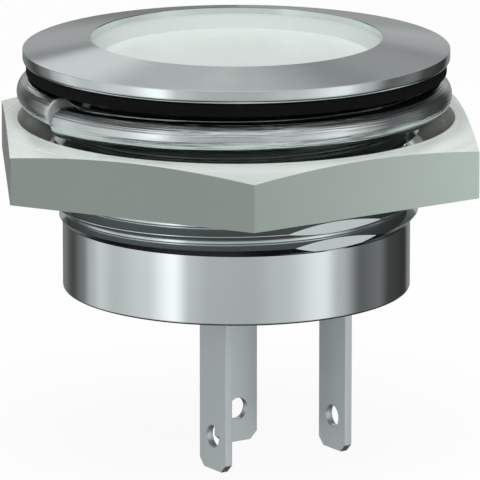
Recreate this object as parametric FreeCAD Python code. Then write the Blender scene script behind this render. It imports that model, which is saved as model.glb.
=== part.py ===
import FreeCAD, Part
import math
import os

# Panel pilot light with a 22 mm threaded barrel, in millimetres.
# The origin is on the axis, in the plane of the flange's underside that seats on a panel.
# +Z points out of the panel, towards the lens. The anti-rotation flat faces -Y.

# Barrel, thread, flat and skirt
THREAD_D = 22.0
THREAD_END_Z = -9.15
BARREL_WALL = 1.65
SKIRT_STEP = 0.50
SKIRT_H = 4.21
SKIRT_BEVEL = 0.12
FLAT_DEPTH = 0.50

# Bezel and flange, turned in one piece with the barrel
FLANGE_OVERHANG = 1.85
FLANGE_RIM_H = 0.80
FLANGE_UNDER_BEVEL = 0.20
BEZEL_CONE_H = 0.67
APERTURE_LEDGE = 0.58
APERTURE_LAND_H = 0.38

# Seal under the flange
PANEL_SEAL_T = 0.75
PANEL_SEAL_INSET = 0.20
PANEL_SEAL_BEVEL = 0.15
PANEL_SEAL_CLEARANCE = 0.05

# Split spring ring of wire with twelve narrow sides, one open helical turn
RING_WIRE_D = 1.9
RING_WIRE_SIDES = 12
RING_BARREL_GAP = 0.18
RING_SEAL_GAP = 0.045
RING_RISE = 0.43
RING_GAP = 0.25
RING_SPLIT_DEG = 177.0
RING_SHIFT_X = -0.10
RING_SHIFT_Y = 0.07

# Hexagon nut with a conical seat for the ring
NUT_RING_GAP = 0.26
NUT_H = 3.5
NUT_RIM_WALL = 0.70
NUT_TOP_SLOPE_DEG = 13.0
NUT_SEAT_GAP = 0.12
NUT_SEAT_DEPTH = 1.85
NUT_SEAT_FLOOR_WIDTH = 0.30
NUT_THREAD_CLEARANCE = 0.05
NUT_LEAD_IN = 0.30
NUT_BLANK_OVERSIZE = 1.0

# Lens, a milky cap with a dished front, and the seal in the rebate of its skirt
PART_CLEARANCE = 0.05
LENS_DISH_BAND = 0.67
LENS_DISH_DEPTH = 0.84
LENS_T = 1.4
LENS_SKIRT_WALL = 1.7
LENS_SKIRT_H = 1.45
LENS_REBATE_DEPTH = 0.75
LENS_REBATE_H = 1.0
LENS_SEAL_CLEARANCE = 0.015

# Light cup below the lens
CUP_H = 4.2
CUP_RIM_WALL = 1.9
CUP_TAPER = 1.7

# Circuit boards and the ring that holds them apart
BOARD_CLEARANCE = 0.25
BOARD_T = 1.0
SPACER_H = 2.8
SPACER_WALL = 1.05

# Light-emitting chips on the upper board
LED_COUNT = 4
LED_FIRST_DEG = 45.0
LED_CUP_GAP = 0.75
LED_LENGTH = 3.0
LED_WIDTH = 1.4
LED_H = 0.8
LED_WINDOW_LENGTH = 1.8
LED_WINDOW_WIDTH = 1.0
LED_WINDOW_DEPTH = 0.4

# Square pins between the pads of the two boards
LINK_PIN_WIDTH = 0.64
LINK_PIN_PITCH = 2.54
LINK_PIN_COUNT = 3
LINK_PIN_INSET = 1.65

# Parts on the lower board. An inset goes from the spacer's inner wall to the part's centre.
RESISTOR_X = 1.3
RESISTOR_INSET = 3.65
RESISTOR_LENGTH = 3.2
RESISTOR_WIDTH = 1.6
RESISTOR_H = 0.6
DIODE_INSET = 3.65
DIODE_Y = 1.6
DIODE_LENGTH = 4.3
DIODE_WIDTH = 2.6
DIODE_H = 2.0
DIODE_BEVEL = 0.25
DIODE_STANDOFF = 0.15
DIODE_LEAD_WIDTH = 1.4
DIODE_LEAD_REACH = 0.45
DIODE_LEAD_T = 0.2
CAPACITOR_INSET = 4.65
CAPACITOR_LENGTH = 3.2
CAPACITOR_WIDTH = 1.6
CAPACITOR_H = 1.3
CHIP_CAP_LENGTH = 0.5
CHIP_CAP_PROUD = 0.03

# Rear plate that carries the three terminals, and the resin poured on it
BASE_T = 1.5
BASE_RIM_H = 0.6
BASE_RIM_WALL = 0.8
RESIN_T = 0.42

# Terminals, stamped from strip
TAB_WIDTH = 2.8
TAB_T = 0.5
TAB_BELOW_SKIRT = 9.95
TAB_TIP_CHAMFER = 0.48
TAB_HOLE_D = 1.36
TAB_HOLE_FROM_TIP = 2.05
TAB_SLOT_CLEARANCE = 0.05
TAIL_WIDTH = 1.2
TAIL_ABOVE_BOARD = 0.75
FRONT_TAB_X = 4.34
FRONT_TAB_Y = -4.29
CENTRE_TAB_X = 0.28
CENTRE_TAB_Y = 0.49
SOLDER_MARGIN = 0.45
SOLDER_H = 0.6

# Radii that follow from the sizes above
THREAD_R = THREAD_D / 2
BORE_R = THREAD_R - BARREL_WALL
INNER_R = BORE_R - PART_CLEARANCE
SKIRT_R = THREAD_R - SKIRT_STEP
FLANGE_R = THREAD_R + FLANGE_OVERHANG
APERTURE_R = BORE_R - APERTURE_LEDGE
RING_MEAN_R = THREAD_R + RING_BARREL_GAP + RING_WIRE_D / 2
NUT_BORE_R = THREAD_R + NUT_THREAD_CLEARANCE
NUT_SEAT_R = RING_MEAN_R + RING_WIRE_D / 2 + NUT_SEAT_GAP
NUT_CORNER_R = (NUT_SEAT_R + NUT_RIM_WALL) / math.cos(math.radians(30))
CUP_TOP_R = INNER_R - CUP_RIM_WALL
CUP_FLOOR_R = CUP_TOP_R - CUP_TAPER
BOARD_R = BORE_R - BOARD_CLEARANCE
SPACER_BORE_R = INNER_R - SPACER_WALL
BASE_HOLLOW_R = INNER_R - BASE_RIM_WALL

# Heights that follow from the sizes above
APERTURE_Z = FLANGE_RIM_H + BEZEL_CONE_H
LIP_Z = APERTURE_Z - APERTURE_LAND_H
SHOULDER_Z = THREAD_END_Z - SKIRT_STEP
SKIRT_END_Z = SHOULDER_Z - SKIRT_H
RING_MID_Z = -PANEL_SEAL_T - RING_SEAL_GAP - (RING_WIRE_D + RING_RISE) / 2
NUT_TOP_Z = RING_MID_Z - (RING_WIRE_D + RING_RISE) / 2 - NUT_RING_GAP
NUT_BOTTOM_Z = NUT_TOP_Z - NUT_H
LENS_FACE_Z = LIP_Z - LENS_DISH_DEPTH
LENS_BACK_Z = LENS_FACE_Z - LENS_T
LENS_END_Z = LENS_BACK_Z - LENS_SKIRT_H
UPPER_BOARD_Z = LENS_END_Z - CUP_H
SPACER_Z = UPPER_BOARD_Z - BOARD_T
LOWER_BOARD_Z = SPACER_Z - SPACER_H
BASE_Z = LOWER_BOARD_Z - BOARD_T
RESIN_Z = BASE_Z - BASE_T
TIP_Z = SKIRT_END_Z - TAB_BELOW_SKIRT

# Each terminal: where it stands, and the turn of its face about Z
TERMINALS = [
    (-FRONT_TAB_X, FRONT_TAB_Y, 90.0),
    (FRONT_TAB_X, FRONT_TAB_Y, 90.0),
    (CENTRE_TAB_X, CENTRE_TAB_Y, 0.0),
]

Z_AXIS = FreeCAD.Vector(0, 0, 1)
ORIGIN = FreeCAD.Vector(0, 0, 0)


def at(x, y, z):
    return FreeCAD.Vector(x, y, z)


def profile_face(corners):
    """Face in the XZ half-plane from corners (radius, height), or (radius, height, bevel)."""
    points = [at(corner[0], 0, corner[1]) for corner in corners]
    path = []
    for i, corner in enumerate(corners):
        here = points[i]
        if len(corner) == 2:
            path.append(here)
            continue
        before = points[i - 1] - here
        after = points[(i + 1) % len(points)] - here
        path.append(here + before.normalize() * corner[2])
        path.append(here + after.normalize() * corner[2])
    return Part.Face(Part.makePolygon(path + path[:1]))


def turned(corners):
    """Solid of revolution about Z."""
    return profile_face(corners).revolve(ORIGIN, Z_AXIS, 360)


def block(length, width, height, centre_x, centre_y, bottom_z):
    corner = at(centre_x - length / 2, centre_y - width / 2, bottom_z)
    return Part.makeBox(length, width, height, corner)


def disc(radius, thickness, top_z):
    return Part.makeCylinder(radius, thickness, at(0, 0, top_z - thickness))


def make_housing():
    """Conical bezel, flange, barrel with its flat, and plain skirt."""
    body = turned([
        (APERTURE_R, LIP_Z),
        (APERTURE_R, APERTURE_Z),
        (FLANGE_R, FLANGE_RIM_H),
        (FLANGE_R, 0, FLANGE_UNDER_BEVEL),
        (THREAD_R, 0),
        (THREAD_R, THREAD_END_Z),
        (SKIRT_R, SHOULDER_Z),
        (SKIRT_R, SKIRT_END_Z, SKIRT_BEVEL),
        (BORE_R, SKIRT_END_Z),
        (BORE_R, LIP_Z),
    ])
    flat_cut = block(THREAD_D, FLAT_DEPTH, -SHOULDER_Z, 0, FLAT_DEPTH / 2 - THREAD_R, SHOULDER_Z)
    return body.cut(flat_cut)


def make_panel_seal():
    """Rubber washer under the flange, its lower outer edge bevelled."""
    inner_r = THREAD_R + PANEL_SEAL_CLEARANCE
    outer_r = FLANGE_R - PANEL_SEAL_INSET
    return turned([
        (inner_r, 0),
        (outer_r, 0),
        (outer_r, -PANEL_SEAL_T, PANEL_SEAL_BEVEL),
        (inner_r, -PANEL_SEAL_T),
    ])


def make_spring_ring():
    """One open turn of wire, its two cut ends side by side and one above the other."""
    gap_angle = math.degrees(RING_GAP / RING_MEAN_R)
    sweep = (360 - gap_angle) / 360
    pitch = RING_RISE / sweep
    spine = Part.Wire(Part.makeHelix(pitch, RING_RISE, RING_MEAN_R).Edges)
    start = at(RING_MEAN_R, 0, 0)
    heading = at(0, RING_MEAN_R, pitch / (2 * math.pi)).normalize()
    outward = at(RING_WIRE_D / 2, 0, 0)
    upward = outward.cross(heading)
    turns = [2 * math.pi * (i + 0.5) / RING_WIRE_SIDES for i in range(RING_WIRE_SIDES)]
    section = [start + outward * math.cos(t) + upward * math.sin(t) for t in turns]
    ring = spine.makePipeShell([Part.makePolygon(section + section[:1])], True, True)
    ring.rotate(ORIGIN, Z_AXIS, RING_SPLIT_DEG + gap_angle / 2)
    ring.translate(at(RING_SHIFT_X, RING_SHIFT_Y, RING_MID_Z - RING_RISE / 2))
    return ring


def make_hex_nut():
    """Hexagon nut whose sloping top falls away from a conical seat."""
    blank_r = NUT_CORNER_R + NUT_BLANK_OVERSIZE
    floor_z = NUT_TOP_Z - NUT_SEAT_DEPTH
    fall = (blank_r - NUT_SEAT_R) * math.tan(math.radians(NUT_TOP_SLOPE_DEG))
    blank = turned([
        (NUT_BORE_R, NUT_BOTTOM_Z, NUT_LEAD_IN),
        (blank_r, NUT_BOTTOM_Z),
        (blank_r, NUT_TOP_Z - fall),
        (NUT_SEAT_R, NUT_TOP_Z),
        (NUT_BORE_R + NUT_SEAT_FLOOR_WIDTH, floor_z),
        (NUT_BORE_R, floor_z),
    ])
    turns = [math.radians(60 * i) for i in range(7)]
    outline = [at(NUT_CORNER_R * math.cos(t), NUT_CORNER_R * math.sin(t), NUT_BOTTOM_Z) for t in turns]
    prism = Part.Face(Part.makePolygon(outline)).extrude(at(0, 0, NUT_H))
    return blank.common(prism)


def make_lens():
    """Milky moulded cap: dished face, and a skirt with a rebate for its seal."""
    inner_skirt_r = INNER_R - LENS_SKIRT_WALL
    rebate_r = INNER_R - LENS_REBATE_DEPTH
    rebate_z = LENS_END_Z + LENS_REBATE_H
    return turned([
        (0, LENS_FACE_Z),
        (APERTURE_R - LENS_DISH_BAND, LENS_FACE_Z),
        (APERTURE_R, LIP_Z),
        (INNER_R, LIP_Z),
        (INNER_R, rebate_z),
        (rebate_r, rebate_z),
        (rebate_r, LENS_END_Z),
        (inner_skirt_r, LENS_END_Z),
        (inner_skirt_r, LENS_BACK_Z),
        (0, LENS_BACK_Z),
    ])


def make_lens_seal():
    """Rubber ring squeezed between the lens rebate, the bore and the light cup."""
    seal_inner_r = INNER_R - LENS_REBATE_DEPTH + LENS_SEAL_CLEARANCE
    seal_outer_r = BORE_R - LENS_SEAL_CLEARANCE
    seal_low_z = LENS_END_Z + LENS_SEAL_CLEARANCE
    seal_top_z = LENS_END_Z + LENS_REBATE_H - LENS_SEAL_CLEARANCE
    return turned([
        (seal_inner_r, seal_low_z),
        (seal_outer_r, seal_low_z),
        (seal_outer_r, seal_top_z),
        (seal_inner_r, seal_top_z),
    ])


def make_light_cup():
    """White funnel that carries the lens and throws the light up to it."""
    return turned([
        (CUP_TOP_R, LENS_END_Z),
        (INNER_R, LENS_END_Z),
        (INNER_R, UPPER_BOARD_Z),
        (CUP_FLOOR_R, UPPER_BOARD_Z),
    ])


def make_led_board():
    return disc(BOARD_R, BOARD_T, UPPER_BOARD_Z)


def make_led(index):
    """Flat chip package with a sunk light window."""
    middle = CUP_FLOOR_R - LED_CUP_GAP - LED_LENGTH / 2
    package = block(LED_LENGTH, LED_WIDTH, LED_H, middle, 0, UPPER_BOARD_Z)
    window_z = UPPER_BOARD_Z + LED_H - LED_WINDOW_DEPTH
    window = block(LED_WINDOW_LENGTH, LED_WINDOW_WIDTH, LED_WINDOW_DEPTH, middle, 0, window_z)
    led = package.cut(window)
    led.rotate(ORIGIN, Z_AXIS, LED_FIRST_DEG + 360 / LED_COUNT * index)
    return led


def make_board_spacer():
    return disc(INNER_R, SPACER_H, SPACER_Z).cut(disc(SPACER_BORE_R, SPACER_H, SPACER_Z))


def make_link_pin(index):
    x = LINK_PIN_PITCH * (index - (LINK_PIN_COUNT - 1) / 2)
    y = SPACER_BORE_R - LINK_PIN_INSET
    return block(LINK_PIN_WIDTH, LINK_PIN_WIDTH, SPACER_H, x, y, LOWER_BOARD_Z)


def slot_for(width, thickness, height, terminal, bottom_z):
    """Upright bar at a terminal's place, turned as the terminal is."""
    x, y, turn = terminal
    bar = block(width, thickness, height, 0, 0, bottom_z)
    bar.rotate(ORIGIN, Z_AXIS, turn)
    bar.translate(at(x, y, 0))
    return bar


def make_driver_board():
    board = disc(BOARD_R, BOARD_T, LOWER_BOARD_Z)
    play = 2 * TAB_SLOT_CLEARANCE
    for terminal in TERMINALS:
        board = board.cut(slot_for(TAIL_WIDTH + play, TAB_T + play, BOARD_T, terminal, BASE_Z))
    return board


def make_chip(length, width, height, x, y, turn):
    """Ceramic chip with a plated cap at each end."""
    chip = block(length - 2 * CHIP_CAP_LENGTH, width, height, 0, 0, CHIP_CAP_PROUD)
    for end in (-1, 1):
        middle = end * (length - CHIP_CAP_LENGTH) / 2
        cap = block(CHIP_CAP_LENGTH, width + 2 * CHIP_CAP_PROUD, height + 2 * CHIP_CAP_PROUD, middle, 0, 0)
        chip = chip.fuse(cap)
    chip = chip.removeSplitter()
    chip.rotate(ORIGIN, Z_AXIS, turn)
    chip.translate(at(x, y, LOWER_BOARD_Z))
    return chip


def make_diode(side):
    """Moulded diode on two flat leads that run under its ends."""
    body = block(DIODE_LENGTH, DIODE_WIDTH, DIODE_H, 0, 0, DIODE_STANDOFF)
    body = body.makeChamfer(DIODE_BEVEL, [e for e in body.Edges if e.BoundBox.ZMin > DIODE_STANDOFF + DIODE_H / 2])
    for end in (-1, 1):
        lead_length = DIODE_LEAD_REACH + CHIP_CAP_LENGTH
        middle = end * (DIODE_LENGTH / 2 + DIODE_LEAD_REACH - lead_length / 2)
        body = body.fuse(block(lead_length, DIODE_LEAD_WIDTH, DIODE_LEAD_T, middle, 0, 0))
    body = body.removeSplitter()
    body.rotate(ORIGIN, Z_AXIS, 90)
    body.translate(at(side * (SPACER_BORE_R - DIODE_INSET), DIODE_Y, LOWER_BOARD_Z))
    return body


def make_terminal_base():
    """Moulded plate with a raised rim that holds the resin, and three slots."""
    base = turned([
        (0, BASE_Z),
        (INNER_R, BASE_Z),
        (INNER_R, RESIN_Z - BASE_RIM_H),
        (BASE_HOLLOW_R, RESIN_Z - BASE_RIM_H),
        (BASE_HOLLOW_R, RESIN_Z),
        (0, RESIN_Z),
    ])
    play = 2 * TAB_SLOT_CLEARANCE
    for terminal in TERMINALS:
        base = base.cut(slot_for(TAB_WIDTH + play, TAB_T + play, BASE_T, terminal, RESIN_Z))
    return base


def make_rear_resin():
    """Cast resin that fills the base's hollow and grips the terminals."""
    resin = disc(BASE_HOLLOW_R, RESIN_T, RESIN_Z)
    for terminal in TERMINALS:
        resin = resin.cut(slot_for(TAB_WIDTH, TAB_T, RESIN_T, terminal, RESIN_Z - RESIN_T))
    return resin


def make_terminal(terminal):
    """Stamped tab with a bevelled tip and a hole, and a narrow tail through the board."""
    x, y, turn = terminal
    half = TAB_WIDTH / 2
    tail = TAIL_WIDTH / 2
    tail_top_z = LOWER_BOARD_Z + TAIL_ABOVE_BOARD
    outline = [
        (half - TAB_TIP_CHAMFER, TIP_Z), (half, TIP_Z + TAB_TIP_CHAMFER), (half, BASE_Z),
        (tail, BASE_Z), (tail, tail_top_z), (-tail, tail_top_z), (-tail, BASE_Z),
        (-half, BASE_Z), (-half, TIP_Z + TAB_TIP_CHAMFER), (-half + TAB_TIP_CHAMFER, TIP_Z),
    ]
    corners = [at(u, -TAB_T / 2, z) for u, z in outline]
    tab = Part.Face(Part.makePolygon(corners + corners[:1])).extrude(at(0, TAB_T, 0))
    hole_start = at(0, -TAB_T / 2, TIP_Z + TAB_HOLE_FROM_TIP)
    tab = tab.cut(Part.makeCylinder(TAB_HOLE_D / 2, TAB_T, hole_start, at(0, 1, 0)))
    tab.rotate(ORIGIN, Z_AXIS, turn)
    tab.translate(at(x, y, 0))
    return tab


def make_terminal_solder(terminal):
    """Solder round a terminal's tail, on the lower board, narrowing upwards."""
    x, y, turn = terminal
    foot_length = TAIL_WIDTH + 2 * SOLDER_MARGIN
    foot_width = TAB_T + 2 * SOLDER_MARGIN
    slug = Part.makeWedge(
        -foot_length / 2, 0, -foot_width / 2, -TAB_T / 2, -TAIL_WIDTH / 2,
        foot_length / 2, SOLDER_H, foot_width / 2, TAB_T / 2, TAIL_WIDTH / 2)
    slug.rotate(ORIGIN, at(1, 0, 0), 90)
    slug.rotate(ORIGIN, Z_AXIS, turn)
    slug.translate(at(x, y, LOWER_BOARD_Z))
    return slug.cut(slot_for(TAIL_WIDTH, TAB_T, SOLDER_H, terminal, LOWER_BOARD_Z))


def make_nodes():
    nodes = {
        "housing": make_housing(),
        "panel_seal": make_panel_seal(),
        "spring_ring": make_spring_ring(),
        "hex_nut": make_hex_nut(),
        "lens": make_lens(),
        "lens_seal": make_lens_seal(),
        "light_cup": make_light_cup(),
        "led_board": make_led_board(),
        "board_spacer": make_board_spacer(),
        "driver_board": make_driver_board(),
        "bypass_capacitor": make_chip(
            CAPACITOR_LENGTH, CAPACITOR_WIDTH, CAPACITOR_H, 0, SPACER_BORE_R - CAPACITOR_INSET, 0),
        "terminal_base": make_terminal_base(),
        "rear_resin": make_rear_resin(),
    }
    for i in range(LED_COUNT):
        nodes[f"led_{i + 1}"] = make_led(i)
    for i in range(LINK_PIN_COUNT):
        nodes[f"link_pin_{i + 1}"] = make_link_pin(i)
    for i, side in enumerate((-1, 1)):
        nodes[f"dropper_resistor_{i + 1}"] = make_chip(
            RESISTOR_LENGTH, RESISTOR_WIDTH, RESISTOR_H, side * RESISTOR_X, RESISTOR_INSET - SPACER_BORE_R, 90)
        nodes[f"blocking_diode_{i + 1}"] = make_diode(side)
    for i, terminal in enumerate(TERMINALS):
        nodes[f"terminal_{i + 1}"] = make_terminal(terminal)
        nodes[f"terminal_solder_{i + 1}"] = make_terminal_solder(terminal)
    return nodes


def save(nodes):
    os.makedirs("parts", exist_ok=True)
    for name, shape in nodes.items():
        shape.exportStep(f"parts/{name}.step")
        box = shape.BoundBox
        print(f"{name}: {len(shape.Solids)} solid, {shape.Volume:.3f} mm3, valid {shape.isValid()},"
              f" z {box.ZMin:.2f} to {box.ZMax:.2f}")


NODES = make_nodes()
save(NODES)
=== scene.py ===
# %% [markdown]
# # A panel pilot light with its nut and spring ring
#
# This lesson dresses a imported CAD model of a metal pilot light: a turned steel body with a conical bezel and a
# milky lens, a rubber seal, a split ring of spring wire, a nickel-plated hexagon nut and three flat tabs. The CAD
# model is the fixed frame. Pieces whose shape shows in the light are modelled again here with fine edges and a real
# thread, and the rest keep their CAD shape and get a finish.
#
# The object's sizes are written in millimetres, as on a drawing. Blender counts in metres, so a length is multiplied
# by MM when it is handed over. The floor, the tent and the lamps are given in metres straight away.

# %% Load the frame
import math

import bpy
from mathutils import Matrix, Vector


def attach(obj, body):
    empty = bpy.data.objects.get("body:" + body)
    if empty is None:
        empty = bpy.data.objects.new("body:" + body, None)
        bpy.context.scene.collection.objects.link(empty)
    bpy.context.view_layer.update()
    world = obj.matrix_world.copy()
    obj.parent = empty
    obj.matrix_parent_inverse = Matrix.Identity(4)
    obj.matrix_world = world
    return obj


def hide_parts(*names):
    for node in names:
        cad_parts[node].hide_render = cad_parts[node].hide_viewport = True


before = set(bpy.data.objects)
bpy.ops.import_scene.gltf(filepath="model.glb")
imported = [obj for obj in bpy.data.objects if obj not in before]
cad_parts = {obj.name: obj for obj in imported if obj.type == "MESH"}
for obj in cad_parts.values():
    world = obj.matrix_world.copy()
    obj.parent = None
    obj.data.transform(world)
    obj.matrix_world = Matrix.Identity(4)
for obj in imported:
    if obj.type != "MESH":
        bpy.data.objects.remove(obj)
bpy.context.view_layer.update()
MM = 0.001

# %% [markdown]
# ## The camera
#
# The picture is a close view from far away, so the camera has a very long lens and almost no perspective. It stands
# left of the barrel's flat and a little above the bezel. Its place is given by an azimuth, an elevation and a
# distance, because those are easy to read and to change. A small offset to the right sets the object in the frame.

# %% Camera
CAMERA_AZIMUTH = math.radians(-33.75)
CAMERA_ELEVATION = math.radians(13.43)
CAMERA_DISTANCE = 398.68 * MM
CAMERA_OFFSET = 0.218 * MM
CAMERA_TARGET = Vector((0, 0, -11.1157 * MM))
CAMERA_LENS = 494.4
CAMERA_NEAREST = 0.01

towards_camera = Vector((
    math.sin(CAMERA_AZIMUTH) * math.cos(CAMERA_ELEVATION),
    -math.cos(CAMERA_AZIMUTH) * math.cos(CAMERA_ELEVATION),
    math.sin(CAMERA_ELEVATION),
))
to_the_right = Vector((math.cos(CAMERA_AZIMUTH), math.sin(CAMERA_AZIMUTH), 0))
bpy.ops.object.camera_add(
    location=CAMERA_TARGET + towards_camera * CAMERA_DISTANCE + to_the_right * CAMERA_OFFSET,
    rotation=towards_camera.to_track_quat("Z", "Y").to_euler(),
)
camera = bpy.context.object
camera.data.lens = CAMERA_LENS
camera.data.clip_start = CAMERA_NEAREST
bpy.context.scene.camera = camera
print("camera at", [round(c, 4) for c in camera.location])

# %% [markdown]
# ## Picking by place
#
# In Blender's window a part of a mesh is picked with the mouse. In code it is picked by its place: pick() goes into
# edit mode with just those vertices, edges or faces selected whose middle passes a test. An operator acts on all
# that is selected, so everything else is deselected first.


# %% Helpers for selecting
def only(piece):
    """Object mode, with this piece selected and nothing else."""
    if bpy.context.mode != "OBJECT":
        bpy.ops.object.mode_set(mode="OBJECT")
    bpy.ops.object.select_all(action="DESELECT")
    piece.select_set(True)
    bpy.context.view_layer.objects.active = piece


def edit_whole(piece):
    """Edit mode, with the whole piece selected."""
    only(piece)
    bpy.ops.object.mode_set(mode="EDIT")
    bpy.ops.mesh.select_all(action="SELECT")


def pick(piece, kind, wanted):
    """Edit mode, with only those vertices, edges or faces selected whose middle is wanted(x, y, z)."""
    only(piece)
    bpy.ops.object.mode_set(mode="EDIT")
    bpy.ops.mesh.select_mode(type=kind)
    bpy.ops.mesh.select_all(action="DESELECT")
    bpy.ops.object.mode_set(mode="OBJECT")
    mesh = piece.data
    for item in {"VERT": mesh.vertices, "EDGE": mesh.edges, "FACE": mesh.polygons}[kind]:
        if kind == "VERT":
            middle = item.co
        elif kind == "EDGE":
            middle = (mesh.vertices[item.vertices[0]].co + mesh.vertices[item.vertices[1]].co) / 2
        else:
            middle = item.center
        if wanted(*(middle / MM)):
            item.select = True
    bpy.ops.object.mode_set(mode="EDIT")


def near(a, b, reach=0.02):
    return abs(a - b) < reach


# %% [markdown]
# ## Turning on the lathe
#
# Every turned piece starts as one vertex that is extruded from corner to corner, as a turner reads a drawing from
# step to step. The corners are then rounded in the flat outline, where a rounding is one click, and the outline is
# spun about the axis. A rounding of one segment is a plain chamfer.

# %% Draw an outline
CORNER_REACH = 0.001


def at_corner(corner):
    """A test for pick(): is the point at this corner (radius, height) of an outline?"""
    return lambda x, y, z: near(x, corner[0], CORNER_REACH) and near(z, corner[1], CORNER_REACH)


def draw_outline(name, corners):
    """A wire in the XZ plane through corners (radius, height), closed by a last edge."""
    bpy.ops.object.select_all(action="DESELECT")
    bpy.ops.mesh.primitive_plane_add(size=MM)
    piece = bpy.context.object
    piece.name = piece.data.name = name
    bpy.ops.object.mode_set(mode="EDIT")
    bpy.ops.mesh.select_mode(type="VERT")
    bpy.ops.mesh.select_all(action="SELECT")
    bpy.ops.mesh.merge(type="CENTER")
    bpy.ops.transform.translate(value=(corners[0][0] * MM, 0, corners[0][1] * MM))
    for here, there in zip(corners, corners[1:]):
        step = ((there[0] - here[0]) * MM, 0, (there[1] - here[1]) * MM)
        bpy.ops.mesh.extrude_region_move(TRANSFORM_OT_translate={"value": step})
    at_first, at_last = at_corner(corners[0]), at_corner(corners[-1])
    pick(piece, "VERT", lambda x, y, z: at_first(x, y, z) or at_last(x, y, z))
    bpy.ops.mesh.edge_face_add()
    bpy.ops.object.mode_set(mode="OBJECT")
    return piece


# %% Round it and spin it
WELD_REACH = 0.0001


def round_corner(piece, corner, radius, segments):
    """Rounds one corner of a flat outline."""
    pick(piece, "VERT", at_corner(corner))
    bpy.ops.mesh.bevel(offset=radius * MM, segments=segments, affect="VERTICES")
    bpy.ops.object.mode_set(mode="OBJECT")


def spin_round(piece, steps):
    """Turns the outline once round Z, welds its seam and makes the faces look outwards."""
    edit_whole(piece)
    bpy.ops.mesh.spin(steps=steps, angle=2 * math.pi, center=(0, 0, 0), axis=(0, 0, 1))
    bpy.ops.mesh.select_all(action="SELECT")
    bpy.ops.mesh.remove_doubles(threshold=WELD_REACH * MM)
    bpy.ops.mesh.normals_make_consistent(inside=False)
    bpy.ops.object.mode_set(mode="OBJECT")


def report_size(piece):
    low = [round(min(v.co[i] for v in piece.data.vertices) / MM, 2) for i in range(3)]
    high = [round(max(v.co[i] for v in piece.data.vertices) / MM, 2) for i in range(3)]
    print(f"{piece.name}: {len(piece.data.polygons)} faces, from {low} to {high} mm")


# %% [markdown]
# ## Steel body
#
# The bezel, flange, barrel and skirt are turned from one bar. The outline below goes round the wall once: up the
# aperture, down the bezel's shallow cone, round the flange's rim, down the barrel, the shoulder and the skirt, and
# back up the bore. A cylinder and a cone joined together would leave seams, and one outline doesn't. The rim's lower
# edge is rounded most, because a wide soft highlight runs along it.

# %% Turn the body
APERTURE_R, APERTURE_Z, LIP_Z = 8.77, 1.47, 1.09
FLANGE_R, RIM_Z = 12.85, 0.80
THREAD_R, THREAD_END_Z = 11.0, -9.02
SKIRT_R, SHOULDER_Z, SKIRT_END_Z = 10.5, -9.65, -13.86
BORE_R = 9.35
APERTURE_EDGE_R, BEZEL_EDGE_R, RIM_EDGE_R = 0.05, 0.03, 0.28
SKIRT_EDGE_R, BORE_EDGE_R = 0.17, 0.10
TURNING_STEPS = 160

body = draw_outline("steel_body", [
    (APERTURE_R, LIP_Z),
    (APERTURE_R, APERTURE_Z),
    (FLANGE_R, RIM_Z),
    (FLANGE_R, 0),
    (THREAD_R, 0),
    (THREAD_R, THREAD_END_Z),
    (SKIRT_R, SHOULDER_Z),
    (SKIRT_R, SKIRT_END_Z),
    (BORE_R, SKIRT_END_Z),
    (BORE_R, LIP_Z),
])
round_corner(body, (APERTURE_R, APERTURE_Z), APERTURE_EDGE_R, segments=3)
round_corner(body, (FLANGE_R, RIM_Z), BEZEL_EDGE_R, segments=3)
round_corner(body, (FLANGE_R, 0), RIM_EDGE_R, segments=8)
round_corner(body, (SKIRT_R, SKIRT_END_Z), SKIRT_EDGE_R, segments=5)
round_corner(body, (BORE_R, SKIRT_END_Z), BORE_EDGE_R, segments=3)
spin_round(body, TURNING_STEPS)
report_size(body)

# %% [markdown]
# ## The thread
#
# The barrel has a fine right-hand thread with one turn per millimetre. Its ridges have 60 degree sides, nearly sharp
# crests and rounded roots. A ridge could be painted on with a bump, but then it would have no profile and the barrel's
# flat couldn't cut through it. So the groove's profile is swept up round the axis with the Screw modifier, and the
# swept solid is then cut out of the barrel, as the tool does on the lathe.


# %% Helpers for sweeping
def apply_modifier(piece, kind, **settings):
    only(piece)
    modifier = piece.modifiers.new(kind.title(), kind)
    for setting, value in settings.items():
        setattr(modifier, setting, value)
    bpy.ops.object.modifier_apply(modifier=modifier.name)


def sweep_up(piece, angle, rise, steps):
    """Sweeps an outline by an angle round Z while it climbs by rise."""
    apply_modifier(piece, "SCREW", axis="Z", angle=angle, screw_offset=rise * MM,
                   iterations=1, steps=steps, render_steps=steps)


def close_ends(piece):
    """Fills the two open ends of a swept piece and makes the faces look outwards."""
    pick(piece, "EDGE", lambda x, y, z: False)
    bpy.ops.mesh.select_non_manifold(extend=False, use_wire=False, use_boundary=True,
                                     use_multi_face=False, use_non_contiguous=False, use_verts=False)
    bpy.ops.mesh.fill_holes(sides=0)
    bpy.ops.mesh.select_all(action="SELECT")
    bpy.ops.mesh.normals_make_consistent(inside=False)
    bpy.ops.object.mode_set(mode="OBJECT")


# %% Sweep the groove
PITCH = 1.0
GROOVE_PROFILE = [(11.03, 0.497), (10.39, 0.11), (10.33, 0.045)]  # radius and half width, from crest to root
GROOVE_START_Z, GROOVE_TURNS = -10.74, 9.42
STEPS_PER_TURN = 120

lower_side = [(radius, -half_width) for radius, half_width in GROOVE_PROFILE]
upper_side = [(radius, half_width) for radius, half_width in reversed(GROOVE_PROFILE)]
groove = draw_outline("groove", lower_side + upper_side)
edit_whole(groove)
bpy.ops.transform.translate(value=(0, 0, GROOVE_START_Z * MM))
bpy.ops.transform.rotate(value=math.radians(90), orient_axis="Z", center_override=(0, 0, 0))
bpy.ops.object.mode_set(mode="OBJECT")
print("groove starts at", [round(c / MM, 2) for c in groove.data.vertices[0].co])
sweep_up(groove, 2 * math.pi * GROOVE_TURNS, PITCH * GROOVE_TURNS, round(GROOVE_TURNS * STEPS_PER_TURN))
report_size(groove)

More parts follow.
